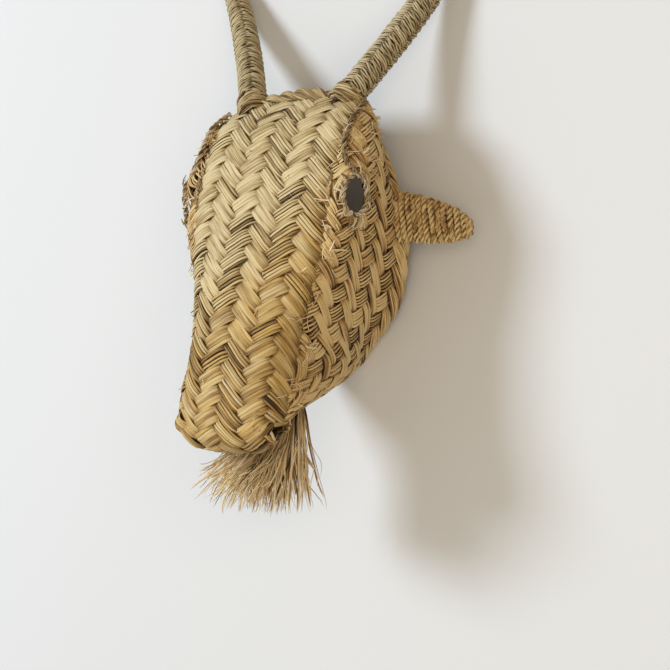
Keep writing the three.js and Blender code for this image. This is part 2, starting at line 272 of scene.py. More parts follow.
def lay_blades(name, lines, normals, half_width, half_thick, tint, material, body, sides=6,
               keep=None, crease_shade=1.7, warm=None):
    """Rolls a grid into a closed flat blade along every line and joins them into one piece.

    lines and normals are (blades, steps, 3) in mm; the ends are drawn to a point. keep cuts steps
    out, crease_shade paints shade on the edges and the underside of every blade, warm turns the colour
    golden.
    """
    count, steps = lines.shape[:2]
    bm = bmesh.new()
    for k in range(count):
        bmesh.ops.create_grid(bm, x_segments=steps - 1, y_segments=sides, size=0.5,
                              matrix=Matrix.Translation((0.5, 0.5, k)))
    mesh = bpy.data.meshes.new(name)
    bm.to_mesh(mesh)
    co = np.empty(len(mesh.vertices) * 3)
    mesh.vertices.foreach_get("co", co)
    co = co.reshape(-1, 3)
    k = np.rint(co[:, 2]).astype(int)
    i = np.rint(co[:, 0] * (steps - 1)).astype(int)
    angle = TAU * np.rint(co[:, 1] * sides) / sides
    shape = np.ones(steps)
    shape[[0, -1]] = 0
    width = np.broadcast_to(half_width, (count, steps)) * shape
    thick = np.broadcast_to(half_thick, (count, steps)) * shape
    tangent = np.gradient(lines, axis=1)
    tangent /= np.maximum(np.linalg.norm(tangent, axis=2, keepdims=True), 1e-9)
    lateral = np.cross(tangent, normals)
    lateral /= np.maximum(np.linalg.norm(lateral, axis=2, keepdims=True), 1e-9)
    up = np.cross(lateral, tangent)
    across = np.cos(angle) * width[k, i]
    place = lines[k, i] + lateral[k, i] * across[:, None]
    place = place + up[k, i] * (np.sin(angle) * thick[k, i])[:, None]
    mesh.vertices.foreach_set("co", (place * MM).ravel())
    blade_gap = 7.31  # sets the grain of neighbouring blades apart
    grain = np.stack([across, lengths_along(lines)[k, i], k * blade_gap], axis=1).ravel().astype(np.float32)
    mesh.attributes.new("grain", "FLOAT_VECTOR", "POINT").data.foreach_set("vector", grain)
    shade = np.broadcast_to(np.asarray(tint), (count, steps))[k, i]
    # Painted shade: the edges and underside of every blade are darkened as if shaded by the blades beside and
    # above it.
    shade = shade - crease_shade * (0.30 * np.cos(angle) ** 2 + 0.15 * np.maximum(-np.sin(angle), 0))
    mesh.attributes.new("tint", "FLOAT", "POINT").data.foreach_set("value", shade.astype(np.float32))
    if warm is not None:
        mesh.attributes.new("warm", "FLOAT", "POINT").data.foreach_set("value", warm[k, i].astype(np.float32))
    bm.clear()
    bm.from_mesh(mesh)
    bpy.data.meshes.remove(mesh)
    if keep is not None:
        kept = keep[k, i]
        bmesh.ops.delete(bm, geom=[v for v, stay in zip(bm.verts, kept) if not stay], context="VERTS")
    bmesh.ops.remove_doubles(bm, verts=bm.verts, dist=2e-7)
    if keep is not None:
        bmesh.ops.holes_fill(bm, edges=[e for e in bm.edges if e.is_boundary], sides=0)
        bmesh.ops.delete(bm, geom=[v for v in bm.verts if not v.link_faces], context="VERTS")
    bmesh.ops.recalc_face_normals(bm, faces=bm.faces)
    for face in bm.faces:
        face.smooth = True
    obj = make_object(name, bm, material, body)
    return obj


def two_over_two(columns, column_width, slope, length, strand_width, blades, step, sway, shear, rng):
    """Every blade of an open two-over-two plait that turns back at both edges.

    sway draws each float more along the plait, shear leans one way of strands more than the other.
    Returns across (from the middle), along, height (-1 to 1), strand and place of each blade.
    """
    h = column_width / 2
    half = (2 * columns + 1) * h / 2
    strands = 2 * columns + 1
    stretch = math.sqrt(1 + slope**2)
    spare = abs(shear) * half + 6
    steps = int((length + 2 * spare) / slope * stretch / step)
    run = np.linspace(-spare / slope, (length + spare) / slope, steps)[None, :]
    x = -half + np.arange(strands)[:, None] * column_width + run
    local = np.mod(x + half, 2 * half)
    y = np.clip((local - h / 2) / column_width, 0, columns)
    flatness = 2.6
    height = -np.tanh(flatness * np.sin(math.pi * y)) / math.tanh(flatness)
    x = x + sway * column_width * np.sin(TAU * y)
    k = np.repeat(np.arange(strands), blades)
    place = (np.tile(np.arange(blades), strands) - (blades - 1) / 2) / blades
    offset = place[:, None] * strand_width + smooth_wander(rng, strands * blades, steps, 0.2, length / 60)
    along = run * slope - offset / stretch
    fold = np.mod(x[k] + offset * slope / stretch + half, 4 * half)
    fold = np.where(fold > 2 * half, 4 * half - fold, fold) - half
    room = half - np.abs(fold)
    turn, blunt = 5, 0.8  # how near the edge a blade starts to turn back, and how bluntly, mm
    rounded = np.sqrt(room**2 + blunt**2 * (1 - room / turn).clip(0, 1))
    across = np.sign(fold) * (half - np.where(room < turn, rounded, room))
    return across, along + shear * across, height[k], k, place


def strand_looks(rng, strand, place, pitch, broad_share):
    """Half width, half thickness and tint of every blade; some strands are single broad leaves."""
    strands = strand.max() + 1
    broad = (rng.random(strands) < broad_share)[strand]
    width = np.where(broad, pitch * 0.78, pitch * 0.49) * rng.uniform(0.85, 1.12, len(strand))
    thick = np.where(broad, 0.40, 0.60) * rng.uniform(0.85, 1.15, len(strand))
    tint = 0.55 + 0.14 * rng.normal(0, 1, strands)[strand]
    tint = tint + np.where(broad, 0.09, 0.21) * rng.normal(0, 1, len(strand))
    tint = tint + np.where(broad, 0.16, 0.0)
    return width[:, None], thick[:, None], np.clip(tint, 0.1, 1.1)[:, None], broad


# ---- ropes and coils

def path_frames(path, reference):
    """Two unit ways square to a path at every point, the first square to the reference too."""
    tangent = np.gradient(path, axis=0)
    tangent /= np.linalg.norm(tangent, axis=1, keepdims=True)
    side = np.cross(np.broadcast_to(reference, path.shape), tangent)
    side /= np.linalg.norm(side, axis=1, keepdims=True)
    return side, np.cross(tangent, side)


def rope(path, reference, plies, blades, ply_radius, blade_radius, pitch, rng, phase=0.0):
    """Blade centre lines of a twisted rope along a path, with outward normals."""
    side, over = path_frames(path, reference)
    run = lengths_along(path)
    lines, normals = [], []
    for p in range(plies):
        a = (TAU * (run / pitch + p / plies) + phase)[:, None]
        ply = side * np.cos(a) + over * np.sin(a)
        for b in range(blades):
            c = (TAU * (b / blades) - TAU * run / pitch * 0.6)[:, None]
            around = (side * np.cos(a + c) + over * np.sin(a + c)) if blades > 1 else ply
            jitter = smooth_wander(rng, 1, len(path), blade_radius * 0.06, 3)[0][:, None]
            lines.append(path + ply * ply_radius + around * (blade_radius + jitter) * (blades > 1))
            normals.append(around)
    return np.array(lines), np.array(normals)


def coil(path, reference, radius, turns, rng, rough, spread=0.0, start=0.0):
    """One strand wound round a path: centre line and outward normals."""
    side, over = path_frames(path, reference)
    f = np.linspace(0, 1, len(path))
    a = (TAU * (turns * f + start) + rng.normal(0, spread, 1))[:, None]
    out = side * np.cos(a) + over * np.sin(a)
    wobble = smooth_wander(rng, 1, len(path), rough, turns / 3)[0]
    return path + out * (radius + wobble)[:, None], out


def resample(path, steps):
    run = lengths_along(path)
    u = np.linspace(0, run[-1], steps)
    return np.stack([np.interp(u, run, path[:, a]) for a in range(3)], axis=1)


# ---- materials

def linear(hex_colour):
    """sRGB hex to linear RGBA."""
    parts = [int(hex_colour[i:i + 2], 16) / 255 for i in (1, 3, 5)]
    return tuple(c / 12.92 if c <= 0.04045 else ((c + 0.055) / 1.055) ** 2.4
                 for c in parts) + (1.0,)


def add_node(tree, kind, inputs=None, stops=None, **settings):
    """Adds a node with its settings; inputs are values or sockets to link from."""
    node = tree.nodes.new(kind)
    for key, value in settings.items():
        setattr(node, key, value)
    for key, value in (inputs or {}).items():
        if isinstance(value, bpy.types.NodeSocket):
            tree.links.new(value, node.inputs[key])
        else:
            node.inputs[key].default_value = value
    if stops:
        ramp = node.color_ramp
        while len(ramp.elements) < len(stops):
            ramp.elements.new(0.5)
        for element, (position, colour) in zip(ramp.elements, stops):
            element.position = position
            element.color = linear(colour) if isinstance(colour, str) else (colour,) * 3 + (1.0,)
    return node


def new_material(name):
    material = bpy.data.materials.new(name)
    material.use_nodes = True
    material.node_tree.nodes.clear()
    return material, material.node_tree


def dry_grass(name, dark, deep, mid, light, stain, roughness=0.62, ridge=0.5):
    """Dried grass blade, split and plaited by hand.

    Lengthwise fibres about 0.4 mm apart show as fine lines, each blade has its own age and colour,
    with painted shade from the tint attribute on blade edges, undersides and where strands pass under,
    and slow stains run over whole areas.
    """
    material, tree = new_material(name)
    grain = add_node(tree, "ShaderNodeAttribute", attribute_name="grain")
    tint = add_node(tree, "ShaderNodeAttribute", attribute_name="tint")
    place = add_node(tree, "ShaderNodeTexCoord")
    fine_map = add_node(tree, "ShaderNodeMapping", {
        "Vector": grain.outputs["Vector"], "Scale": (2.6, 0.05, 1.0)})
    fine = add_node(tree, "ShaderNodeTexNoise", {
        "Vector": fine_map.outputs[0], "Scale": 1.0, "Detail": 3.0})
    slow_map = add_node(tree, "ShaderNodeMapping", {
        "Vector": grain.outputs["Vector"], "Scale": (0.25, 0.05, 1.0)})
    slow = add_node(tree, "ShaderNodeTexNoise", {
        "Vector": slow_map.outputs[0], "Scale": 1.0, "Detail": 2.0})
    patch = add_node(tree, "ShaderNodeTexNoise", {
        "Vector": place.outputs["Object"], "Scale": 26.0, "Detail": 3.0})
    with_fine = add_node(tree, "ShaderNodeMath", {
        0: fine.outputs["Fac"], 1: 1.25, 2: -0.625}, operation="MULTIPLY_ADD")
    with_slow = add_node(tree, "ShaderNodeMath", {
        0: slow.outputs["Fac"], 1: 0.5, 2: with_fine.outputs[0]}, operation="MULTIPLY_ADD")
    with_stain = add_node(tree, "ShaderNodeMath", {
        0: patch.outputs["Fac"], 1: stain, 2: with_slow.outputs[0]}, operation="MULTIPLY_ADD")
    # The tint attribute holds each blade's own tone together with the painted shade laid on in lay_blades.
    with_tint = add_node(tree, "ShaderNodeMath", {
        0: tint.outputs["Fac"], 1: 0.8, 2: with_stain.outputs[0]}, operation="MULTIPLY_ADD")
    value = add_node(tree, "ShaderNodeMath", {
        0: with_tint.outputs[0], 1: 0.15 + stain / 2}, operation="SUBTRACT")
    ramp = add_node(tree, "ShaderNodeValToRGB", {"Fac": value.outputs[0]},
                    stops=[(0.08, dark), (0.34, deep), (0.56, mid), (0.86, light)])
    warm = add_node(tree, "ShaderNodeAttribute", attribute_name="warm")
    golden = add_node(tree, "ShaderNodeMix", {
        0: warm.outputs["Fac"], 6: ramp.outputs["Color"], 7: linear("#f2deb0")},
        data_type="RGBA", blend_type="MULTIPLY")
    rough = add_node(tree, "ShaderNodeMath", {
        0: fine.outputs["Fac"], 1: 0.24, 2: roughness - 0.12}, operation="MULTIPLY_ADD")
    bump = add_node(tree, "ShaderNodeBump", {
        "Strength": ridge, "Distance": 0.0004, "Height": fine.outputs["Fac"]})
    shader = add_node(tree, "ShaderNodeBsdfPrincipled", {
        "Base Color": golden.outputs[2], "Roughness": rough.outputs[0], "Normal": bump.outputs[0],
        "IOR": 1.45, "Specular IOR Level": 0.32, "Sheen Weight": 0.12, "Sheen Roughness": 0.5})
    add_node(tree, "ShaderNodeOutputMaterial", {"Surface": shader.outputs[0]})
    return material


def split_cane(name, dark, light):
    """Split cane, scraped but not varnished: long grain from object coordinates, dull, brown."""
    material, tree = new_material(name)
    place = add_node(tree, "ShaderNodeTexCoord")
    stretch = add_node(tree, "ShaderNodeMapping", {
        "Vector": place.outputs["Object"], "Scale": (900, 900, 60)})
    grain = add_node(tree, "ShaderNodeTexNoise", {
        "Vector": stretch.outputs[0], "Scale": 1.0, "Detail": 3.0})
    ramp = add_node(tree, "ShaderNodeValToRGB", {"Fac": grain.outputs["Fac"]},
                    stops=[(0.3, dark), (0.7, light)])
    bump = add_node(tree, "ShaderNodeBump", {
        "Strength": 0.4, "Distance": 0.0003, "Height": grain.outputs["Fac"]})
    shader = add_node(tree, "ShaderNodeBsdfPrincipled", {
        "Base Color": ramp.outputs["Color"], "Roughness": 0.7, "Normal": bump.outputs[0],
        "IOR": 1.45, "Specular IOR Level": 0.3})
    add_node(tree, "ShaderNodeOutputMaterial", {"Surface": shader.outputs[0]})
    return material


def plaster(name, colour, see_through_back=False):
    """Matt painted plaster, barely textured; the backdrop can be looked through from behind."""
    material, tree = new_material(name)
    place = add_node(tree, "ShaderNodeTexCoord")
    mottle = add_node(tree, "ShaderNodeTexNoise", {
        "Vector": place.outputs["Object"], "Scale": 40.0, "Detail": 4.0})
    bump = add_node(tree, "ShaderNodeBump", {
        "Strength": 0.08, "Distance": 0.001, "Height": mottle.outputs["Fac"]})
    shader = add_node(tree, "ShaderNodeBsdfPrincipled", {
        "Base Color": linear(colour), "Roughness": 0.9, "Normal": bump.outputs[0],
        "Specular IOR Level": 0.2})
    surface = shader.outputs[0]
    if see_through_back:
        clear = add_node(tree, "ShaderNodeBsdfTransparent")
        facing = add_node(tree, "ShaderNodeNewGeometry")
        mix = add_node(tree, "ShaderNodeMixShader", {
            0: facing.outputs["Backfacing"], 1: surface, 2: clear.outputs[0]})
        surface = mix.outputs[0]
    add_node(tree, "ShaderNodeOutputMaterial", {"Surface": surface})
    return material


def finish_of(key):
    """The shared grass finishes, made once."""
    made = bpy.data.materials.get(key)
    if made:
        return made
    colours = bpy.context.scene.goat_colours
    hexes = {"Pale plaited grass": ("#2a190b", "#775d33", "#ac9464", "#d9c99e"),
             "Golden plaited grass": ("#281608", "#77562a", "#b08b52", "#dcc38e"),
             "Weathered grey grass": ("#2a2014", "#6f5e43", "#9d8b66", "#cbbd9a"),
             "Frayed grass fibre": ("#3a230d", "#85622f", "#c29c5e", "#f6e4bd"),
             "Bleached twisted grass": ("#452f1c", "#917a56", "#bfab84", "#e8dac6")}
    return dry_grass(key, *hexes[key], stain=colours.stain)


# ---- sizes a user would change

class GoatPlaitSettings(bpy.types.PropertyGroup):
    face_columns: IntProperty(
        name="Face columns", default=6, min=2, max=12,
        description="Columns of stitches across the face band, an even number")
    face_slope: FloatProperty(
        name="Face slope", default=0.72, min=0.2, max=1.5,
        description="Rise of a face strand for each unit across")
    face_strand: FloatProperty(
        name="Face strand width", default=10.6 * MM, unit="LENGTH",
        description="Width of a strand of the face band")
    face_lean: FloatProperty(
        name="Face lean", default=0.2, min=-1, max=1,
        description="Leans the face strands to the animal's left")
    cheek_columns: IntProperty(
        name="Cheek columns", default=10, min=2, max=14,
        description="Columns of stitches across a cheek, an even number")
    cheek_column: FloatProperty(
        name="Cheek column width", default=12.8 * MM, unit="LENGTH",
        description="Width of one column on a cheek")
    cheek_slope: FloatProperty(
        name="Cheek slope", default=1.05, min=0.2, max=1.5,
        description="Rise of a cheek strand for each unit across")
    cheek_strand: FloatProperty(
        name="Cheek strand width", default=8.6 * MM, unit="LENGTH",
        description="Width of a strand on a cheek")
    cheek_lean: FloatProperty(
        name="Cheek lean", default=0.5, min=-1, max=1,
        description="Leans the cheek strands towards the rear rim")
    blades: IntProperty(
        name="Blades", default=5, min=1, max=8,
        description="Grass blades side by side in one strand")
    lift: FloatProperty(
        name="Crossing height", default=1.5 * MM, unit="LENGTH",
        description="How far a strand rises where it passes over")


class GoatHornSettings(bpy.types.PropertyGroup):
    root_radius: FloatProperty(
        name="Root radius", default=9.5 * MM, unit="LENGTH",
        description="Radius of a horn at the head")
    tip_radius: FloatProperty(
        name="Tip radius", default=5.0 * MM, unit="LENGTH",
        description="Radius of a horn at its tip")
    stitch: FloatProperty(
        name="Stitch pitch", default=4.0 * MM, unit="LENGTH",
        description="Spacing of the plait's crossings along the horn")


class GoatEarSettings(bpy.types.PropertyGroup):
    rows: IntProperty(
        name="Rows", default=14, min=4, max=30,
        description="Twined rows from the root of the ear to its tip")
    cord_radius: FloatProperty(
        name="Row radius", default=2.0 * MM, unit="LENGTH",
        description="Radius of one twined row")


class GoatBeardSettings(bpy.types.PropertyGroup):
    fibres: IntProperty(
        name="Fibres", default=470, min=50, max=2000,
        description="Loose fibres in the beard")
    seed: IntProperty(name="Seed", default=11, description="Changes how the fibres fall")


class GoatFraySettings(bpy.types.PropertyGroup):
    ends: IntProperty(
        name="Loose ends", default=330, min=0, max=3000,
        description="Number of loose ends of grass on the head")
    seed: IntProperty(name="Seed", default=17, description="Changes where the loose ends stand")


class GoatColourSettings(bpy.types.PropertyGroup):
    stain: FloatProperty(
        name="Stain", default=0.35, min=0, max=1,
        description="How strongly stains run over whole areas")
    backdrop: BoolProperty(
        name="Backdrop wall", default=True, description="Put a wall behind the head")


# ---- pieces

class GOAT_OT_face(bpy.types.Operator):
    """Plait the band that runs over the crown, down the nose and under the muzzle"""
    bl_idname = "goat.face"
    bl_label = "Face band"

    def execute(self, context):
        s = context.scene.goat_plait
        rng = np.random.default_rng(3)
        column = 2 * BAND_HALF / (2 * s.face_columns + 1) * 2
        down = lengths_along(POINTS[:, 0])
        top = np.interp(SHELL_TOP, T_ROWS, down)
        across, along, height, strand, place = two_over_two(
            s.face_columns, column, s.face_slope, down[-1] - top, s.face_strand / MM, s.blades,
            2.5, 0.02, s.face_lean, rng)
        keep = (along > -UNDER_CROWN) & (along + top < down[-1] - 0.5)
        t = np.interp(np.clip(along + top, top - UNDER_CROWN, down[-1]), down, T_ROWS)
        width, thick, tint, broad = strand_looks(rng, strand, place, s.face_strand / MM / s.blades, 0.45)
        crown = np.where(broad, 0.0, 0.4)[:, None] * (1 - (2 * place[:, None]) ** 2)
        edge = ease((np.abs(across) - 44) / 12)
        lift = (-WALL / 2 + height * s.lift / MM + crown - 0.9 * edge
                + smooth_wander(rng, len(strand), across.shape[1], 0.1, 8))
        # Painted shade: a strand is darker where it passes under another and lighter where it passes over.
        tint = tint + 0.03 + 0.26 * height - 0.10 * edge - 0.10 * ease((t - 0.5) / 0.25)
        warm = np.clip(0.75 + 0.25 * rng.normal(0, 1, (len(strand), 1)), 0, 1)
        warm = ease((t - 0.38 + 0.004 * across) / 0.28) * warm
        lines, normals = on_head(t, across * band_edge(t) / BAND_HALF, lift)
        lines, keep = open_eyes_and_mouth(lines, keep)
        obj = lay_blades("face_plait", lines, normals, width, thick, tint,
                         finish_of("Pale plaited grass"), "head", keep=keep, warm=warm)
        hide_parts("face_band")
        return {"FINISHED"}


class GOAT_OT_cheeks(bpy.types.Operator):
    """Plait the two cheek pieces, from round the hoop of the open back to under the face band"""
    bl_idname = "goat.cheeks"
    bl_label = "Cheeks"

    def execute(self, context):
        s = context.scene.goat_plait
        rim, _ = on_head(T_ROWS, GIRTH - 20)
        front, _ = on_head(T_ROWS, np.full_like(T_ROWS, 62.0))
        down = (lengths_along(rim) + lengths_along(front)) / 2
        top, end = np.interp([SHELL_TOP, 0.985], T_ROWS, down)
        for side, word in SIDES:
            rng = np.random.default_rng(20 + side)
            across, along, height, strand, place = two_over_two(
                s.cheek_columns, s.cheek_column / MM, s.cheek_slope, end - top, s.cheek_strand / MM,
                s.blades, 2.4, 0.015, -s.cheek_lean, rng)
            half = (2 * s.cheek_columns + 1) * s.cheek_column / MM / 4
            t = np.interp(np.clip(along + top, top, end), down, T_ROWS)
            past_rim = 6.0  # how far the cheeks run on round the hoop, mm
            past = past_rim * (1 - ease((t - 0.70) / 0.06))
            arc = girth_at(t) + past - (across + half)
            keep = (arc > band_edge(t) - 5) & (along > -1) & (along + top < end)
            width, thick, tint, _ = strand_looks(rng, strand, place, s.cheek_strand / MM / s.blades, 0.3)
            tuck = ease((BAND_HALF + 3 - arc) / 6) * 1.8
            rise = ease((arc - girth_at(t) + 9) / 7) * 2.7 * past / past_rim
            lift = (-WALL / 2 - tuck + rise + height * s.lift / MM
                    + smooth_wander(rng, len(strand), across.shape[1], 0.14, 8))
            # Painted shade: a strand is darker where it passes under another and lighter where it passes
            # over.
            tint = tint + 0.14 + 0.34 * height - 0.08 * ease((t - 0.82) / 0.1)
            lines, normals = on_head(t, side * np.maximum(arc, 1.0), lift)
            lines, keep = open_eyes_and_mouth(lines, keep)
            lines[..., 1] = np.minimum(lines[..., 1], -1.4)
            obj = lay_blades(f"cheek_plait_{word}", lines, normals, width, thick, tint,
                             finish_of("Golden plaited grass"), "head", keep=keep,
                             crease_shade=2.2)
            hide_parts(f"cheek_band_{word}")
        return {"FINISHED"}


class GOAT_OT_crown(bpy.types.Operator):
    """Lay the thick twisted rope that edges the crown between the horns"""
    bl_idname = "goat.crown"
    bl_label = "Crown rope"

    def execute(self, context):
        rng = np.random.default_rng(5)
        x = np.linspace(-33, 33, 72)
        path = np.stack([x, -50.5 + 0 * x, 3.4 - 4.0 * (x / 30) ** 2 + 0.4 * np.sin(x / 7)], axis=1)
        lines, normals = rope(path, (0, 0, 1), 3, 9, 2.7, 2.1, 38, rng)
        tint = rng.uniform(0.4, 1.1, len(lines))[:, None]
        obj = lay_blades("crown_rope", lines, normals, 0.95, 0.55, tint,
                         finish_of("Pale plaited grass"), "head")
        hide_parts("crown_cord")
        return {"FINISHED"}


def horn_at(side, h):
    """Middle of a horn at height h above the head, mm."""
    curl = np.where(h > 0, HORN_CURL * h**3, 0)
    depth = HORN_DEPTH - HORN_LEAN * h + curl
    return np.stack([side * (HORN_X + HORN_SPREAD * h), -depth, h], axis=-1)


class GOAT_OT_horns(bpy.types.Operator):
    """Plait the round sleeves of the horns and lash them to the head"""
    bl_idname = "goat.horns"
    bl_label = "Horns"

    def execute(self, context):
        s = context.scene.goat_horns
        for side, word in SIDES:
            self.sleeve(s, side, word)
            self.lashing(side, word)
            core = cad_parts[f"horn_core_{word}"].data
            core.materials.clear()
            # The core is a real piece, but its near-black colours are painted shade, so the gaps in the horn
            # plait look shaded.
            core.materials.append(split_cane("Bundled stems in painted shade", "#24180d", "#4d3920"))
        return {"FINISHED"}

    def radius(self, s, h):
        """Radius of a horn at height h, mm, closing at the tip."""
        root, tip = s.root_radius / MM, s.tip_radius / MM
        body = root + (tip - root) * np.clip(h / HORN_HEIGHT, 0, 1) ** 4
        end = np.clip((h - (HORN_HEIGHT - 3)) / 5.0, 0, 1)
        return body * np.sqrt(np.maximum(1 - end**2, 0.02))

    def sleeve(self, s, side, word):
        rng = np.random.default_rng(31 + side)
        low, high = -6.5, HORN_HEIGHT + 1.6
        spine_h = np.linspace(low - 6, high + 4, 400)
        spine = horn_at(side, spine_h)
        right, over = path_frames(spine, (0, 1, 0))
        turns = (high - low) / (s.stitch / MM * HORN_STRANDS)
        steps = int(turns * TAU * 9 / 2.3)
        start = 0.0 if side > 0 else TAU / 8
        flatness = 2.4
        lines, normals, tints = [], [], []
        u = np.linspace(0, 1, steps)
        h = low + (high - low) * u

        def on_spine(values, heights):
            return np.stack([np.interp(heights, spine_h, values[:, c]) for c in range(3)], axis=1)

        for way in (1, -1):
            for k in range(HORN_STRANDS):
                for b in (-1, 0, 1):
                    a = way * TAU * turns * u + TAU * (k + (0.5 if way > 0 else 0.0)) / HORN_STRANDS
                    y = np.mod(a / TAU * HORN_STRANDS, 2)
                    a = a + start
                    rise = way * np.tanh(flatness * np.sin(math.pi * y)) / math.tanh(flatness)
                    hb = np.clip(h + b * 1.2 + smooth_wander(rng, 1, steps, 0.32, 30)[0], low, high)
                    r = (self.radius(s, hb) - 1.45 + 0.95 * rise + (0.35 if b == 0 else 0)
                         + smooth_wander(rng, 1, steps, 0.16, 20)[0])
                    n = on_spine(right, hb) * np.cos(a)[:, None] + on_spine(over, hb) * np.sin(a)[:, None]
                    lines.append(on_spine(spine, hb) + n * np.maximum(r, 0.6)[:, None])
                    normals.append(n)
                    # Painted shade: a strand is darker where it dips under another and lighter where it rides
                    # over.
                    tints.append(rng.uniform(0.45, 0.95) + 0.32 * rise
                                 + smooth_wander(rng, 1, steps, 0.13, 40)[0])
        obj = lay_blades(f"horn_plait_{word}", np.array(lines), np.array(normals), 0.72, 0.68,
                         np.array(tints), finish_of("Weathered grey grass"), "head", sides=5)
        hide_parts(f"horn_sleeve_{word}")

    def lashing(self, side, word):
        rng = np.random.default_rng(41 + side)
        turns = 2.2
        f = np.linspace(0, 1, 110)
        lines, normals, tints = [], [], []
        for k in range(LASHINGS):
            a = TAU * (turns * f + k / LASHINGS)
            h = (rng.uniform(-7, -1) + rng.uniform(2, 6) * f
                 + rng.uniform(1.0, 3.2) * np.sin(a + rng.uniform(0, TAU)))
            line, out = coil(horn_at(side, h), (0, 1, 0), 9.9 + rng.uniform(0, 0.8), turns, rng, 0.3,
                             start=k / LASHINGS)
            lines.append(line)
            normals.append(out)
            tints.append(rng.uniform(0.3, 1.0))
        obj = lay_blades(f"horn_lash_{word}", np.array(lines), np.array(normals), 0.8, 0.45,
                         np.array(tints)[:, None], finish_of("Pale plaited grass"), "head")
        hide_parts(f"horn_lashing_{word}")


class GOAT_OT_eyes(bpy.types.Operator):
    """Edge the eye openings and the seams above them with bleached twisted cord"""
    bl_idname = "goat.eyes"
    bl_label = "Eye rims and brow seams"

    def execute(self, context):
        for side, word in SIDES:
            rng = np.random.default_rng(51 + side)
            centre, n, up, across = eye_frame(side)
            a = np.linspace(0, TAU * 1.03, 110)[:, None] + 3.9
            x = (EYE_HALF[0] + 0.4) * np.cos(a)
            wander = smooth_wander(rng, 1, 110, 0.35, 2)[0][:, None]
            path = (centre + across * (x + wander) + up * (EYE_HALF[1] * np.sin(a) + wander)
                    + n * (-1.2 - 0.012 * x**2))
            lines, normals = rope(path, n, 2, 4, 0.85, 0.7, 9, rng)
            knot = centre - across * side * 6.5 - up * 11.5 + n * 0.2
            lines, normals = self.with_knot(lines, normals, knot, across, up, n, rng)
            tint = rng.uniform(0.3, 1.1, len(lines))[:, None]
            rim = lay_blades(f"eye_rim_cord_{word}", lines, normals, 0.55, 0.38, tint,
                             finish_of("Bleached twisted grass"), "head")
            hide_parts(f"eye_rim_{word}")
            self.stitches(word, centre, n, up, across, rng)
            t = np.linspace(0.05, 0.285, 80)
            bow_out = 7 * np.clip((t - 0.2) / 0.08, 0, 1) ** 2
            seam, _ = on_head(t, side * (band_edge(t) + 0.5 + bow_out), 0.2)
            lines, normals = rope(seam, (1, 0, 0), 2, 4, 0.95, 0.7, 10, rng)
            tint = rng.uniform(0.3, 1.0, len(lines))[:, None]
            cord = lay_blades(f"brow_cord_{word}", lines, normals, 0.55, 0.38, tint,
                              finish_of("Bleached twisted grass"), "head")
            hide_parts(f"brow_seam_{word}")
        return {"FINISHED"}

    def stitches(self, word, centre, n, up, across, rng):
        """Lays short uneven stitches over the rim of the eye and into the plait round it."""
        count, u = 34, np.linspace(0, 1, 14)[None, :]
        a = TAU * (np.arange(count)[:, None] + rng.uniform(-0.5, 0.5, (count, 1))) / count
        a = a + rng.uniform(-0.35, 0.35, (count, 1)) * u
        r = 0.97 + rng.uniform(0.25, 0.75, (count, 1)) * u
        x = EYE_HALF[0] * r * np.cos(a)
        rise = np.interp(u, (0, 0.25, 0.6, 1), (-3.6, 0.5, 0.3, -2.2))
        rise = rise + rng.uniform(-0.3, 0.6, (count, 1)) - 0.012 * x**2
        lines = (centre + x[..., None] * across + (EYE_HALF[1] * r * np.sin(a))[..., None] * up
                 + rise[..., None] * n)
        out = np.broadcast_to(n, lines.shape)
        lay_blades(f"eye_stitches_{word}", lines, out, rng.uniform(0.35, 0.75, (count, 1)), 0.28,
                   rng.uniform(0.3, 1.2, (count, 1)), finish_of("Bleached twisted grass"), "head")

    def with_knot(self, lines, normals, place, across, up, n, rng):
        """Adds a small overhand knot of the same blades."""
        steps = lines.shape[1]
        f = np.linspace(0, TAU, steps)[:, None]
        more, out = [], []
        for k in range(4):
            a = f + k * TAU / 4
            turn = 1.7 + 0.25 * k
            loop = (place + across * turn * np.cos(a) * 1.2 + up * turn * np.sin(2 * a) * 0.6
                    + n * (np.sin(a) + 0.4))
            more.append(loop)
            out.append(n + 0 * loop)
        return np.concatenate([lines, more]), np.concatenate([normals, out])


class GOAT_OT_ears(bpy.types.Operator):
    """Twine the ears row by row from root to tip"""
    bl_idname = "goat.ears"
    bl_label = "Ears"

    def execute(self, context):
        s = context.scene.goat_ears
        cord = s.cord_radius / MM
        for side, word in SIDES:
            rng = np.random.default_rng(61 + side)
            lines, normals, tints = [], [], []
            steps = 96
            for row in range(s.rows):
                f = 0.10 + 0.86 * row / (s.rows - 1)
                end = math.sqrt(max(1 - f**6, 0))
                tall = max(18.5 * (1 - 0.36 * f) * end - cord * 0.7, 2.0)
                thick = max(5.6 * (1 - 0.35 * f) * end - cord * 0.8, 1.0)
                a = np.linspace(0, TAU * 1.03, 120) + rng.uniform(0, TAU)
                y, z = thick * np.cos(a), tall * np.sin(a)
                x = (52 + 63 * f - 0.12 * z - 0.003 * z**2 + rng.normal(0, 0.3)
                     + smooth_wander(rng, 1, 120, 0.3, 2)[0])
                path = np.stack([side * x, -(27 - 6 * f) + y, -74 - 11 * f + z], axis=1)
                row_lines, out = rope(resample(path, steps), (1, 0, 0), 2, 3, cord * 0.55, cord * 0.34, 7.2,
                                      rng, phase=rng.uniform(0, TAU))
                lines += list(row_lines)
                normals += list(out)
                tints += list(rng.uniform(0.35, 0.95, len(row_lines)))
            lines, normals = np.array(lines), np.array(normals)
            shade = np.array(tints)[:, None] + smooth_wander(rng, len(lines), steps, 0.12, 6)
            shade = shade + 0.35 * (np.abs(normals[:, :, 0]) < 0.6) - 0.2
            obj = lay_blades(f"ear_twining_{word}", lines, normals, cord * 0.42, cord * 0.20, shade + 0.32,
                             finish_of("Golden plaited grass"), "head", crease_shade=0.9)
            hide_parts(f"ear_{word}")
        return {"FINISHED"}


